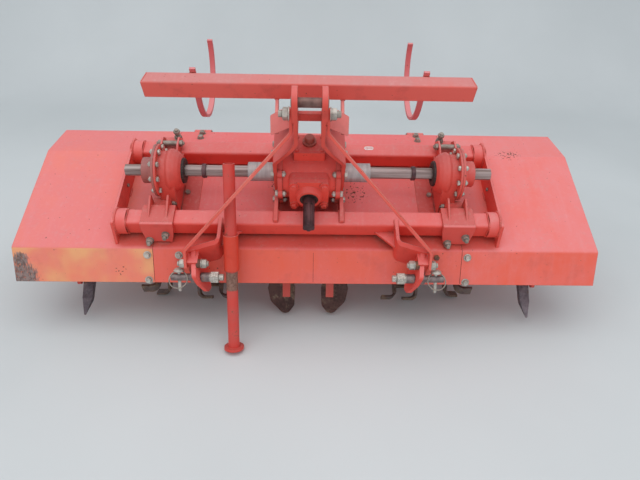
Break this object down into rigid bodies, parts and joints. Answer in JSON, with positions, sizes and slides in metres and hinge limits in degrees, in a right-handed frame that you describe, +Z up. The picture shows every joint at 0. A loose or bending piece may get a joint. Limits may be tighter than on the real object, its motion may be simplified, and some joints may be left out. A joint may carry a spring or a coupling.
{
  "type": "tractor rotavator with two rotor heads",
  "caption": "Tractor-mounted rotavator: folded hood over L-bladed rotors on side drive heads, centre gearbox, cross shaft, mast with hooked bar, link pins and parking leg.",
  "frame": {"origin": "on the ground, under the middle of the machine's bounding box as it stands parked", "axes": "+X to the machine's right, +Y to its rear (away from the tractor), +Z up; the machine leans nose down by 26.4 degrees on to its leg"},
  "size_m": [1.78, 0.714, 0.8231],
  "materials": {
    "orange_paint": "faded orange-red gloss paint, worn and dusty",
    "cast_paint": "orange-red paint over rough castings",
    "shaft_steel": "bare steel bar, oxidised brown",
    "sleeve_steel": "dull grey bare steel",
    "dark_steel": "greasy dark steel",
    "pin_steel": "zinc-plated steel gone dull and rusty",
    "blade_steel": "dark forged steel, earth-stained"
  },
  "bodies": {
    "frame": {"hood_centre": "orange_paint", "hood_wing_right": "orange_paint", "hood_wing_left": "orange_paint", "front_tube": "orange_paint", "rear_tube": "orange_paint", "side_plate_right": "orange_paint", "side_plate_left": "orange_paint", "gearbox_case": "cast_paint", "input_flange": "cast_paint", "gearbox_cover_right": "cast_paint", "gearbox_cover_left": "cast_paint", "filler_cap": "orange_paint", "mast_side_right": "orange_paint", "mast_side_left": "orange_paint", "mast_bridge": "orange_paint", "top_link_pin": "pin_steel", "cross_bar": "orange_paint", "bar_wing_right": "orange_paint", "bar_wing_left": "orange_paint", "hook_right": "orange_paint", "hook_left": "orange_paint", "link_bracket_right": "orange_paint", "link_bracket_left": "orange_paint", "link_pin_right": "pin_steel", "link_pin_left": "pin_steel", "brace_right": "orange_paint", "brace_left": "orange_paint", "leg_sleeve": "orange_paint", "head_case_right": "cast_paint", "head_case_left": "cast_paint", "head_cover_right": "cast_paint", "head_cover_left": "cast_paint", "front_clamp_right": "orange_paint", "front_clamp_left": "orange_paint", "rear_clamp_right": "orange_paint", "rear_clamp_left": "orange_paint", "tine_shank_right": "orange_paint", "tine_shank_left": "orange_paint", "tine_right": "blade_steel", "tine_left": "blade_steel", "share_right": "blade_steel", "share_left": "blade_steel", "share_shank_right": "orange_paint", "share_shank_left": "orange_paint", "hinge_strap_left": "orange_paint", "hinge_strap_right": "orange_paint"},
    "rotor_left": {"rotor_left": "blade_steel"},
    "rotor_right": {"rotor_right": "blade_steel"},
    "cross_shaft": {"hex_shaft": "shaft_steel", "shaft_sleeve_left": "sleeve_steel", "shaft_sleeve_right": "sleeve_steel"},
    "input_shaft": {"input_shaft": "dark_steel"},
    "leg": {"leg": "orange_paint"},
    "trailing_board": {"trailing_board": "orange_paint"}
  },
  "joints": [
    {"name": "rotor_left_spin", "type": "hinge", "parent": "frame", "child": "rotor_left", "pos_m": [-0.428, -0.00533, 0.17611], "axis": [1, 0, 0], "continuous": true},
    {"name": "rotor_right_spin", "type": "hinge", "parent": "frame", "child": "rotor_right", "pos_m": [0.428, -0.00533, 0.17611], "axis": [1, 0, 0], "continuous": true},
    {"name": "cross_shaft_spin", "type": "hinge", "parent": "frame", "child": "cross_shaft", "pos_m": [0, -0.06035, 0.48261], "axis": [1, 0, 0], "continuous": true},
    {"name": "input_shaft_spin", "type": "hinge", "parent": "frame", "child": "input_shaft", "pos_m": [0, -0.25024, 0.38834], "axis": [0, -0.8957, -0.4446], "continuous": true},
    {"name": "leg_slide", "type": "slide", "parent": "frame", "child": "leg", "axis": [0, 0.2588, 0.9659], "range_m": [-0.08, 0.15]},
    {"name": "board_hinge", "type": "hinge", "parent": "frame", "child": "trailing_board", "pos_m": [0, 0.33389, 0.46774], "axis": [1, 0, 0], "range_deg": [-30, 75]}
  ],
  "couplings": [
    {"joint": "rotor_right_spin", "follows": "rotor_left_spin", "ratio": 1},
    {"joint": "cross_shaft_spin", "follows": "rotor_left_spin", "ratio": 1.75},
    {"joint": "input_shaft_spin", "follows": "rotor_left_spin", "ratio": 2.5}
  ]
}
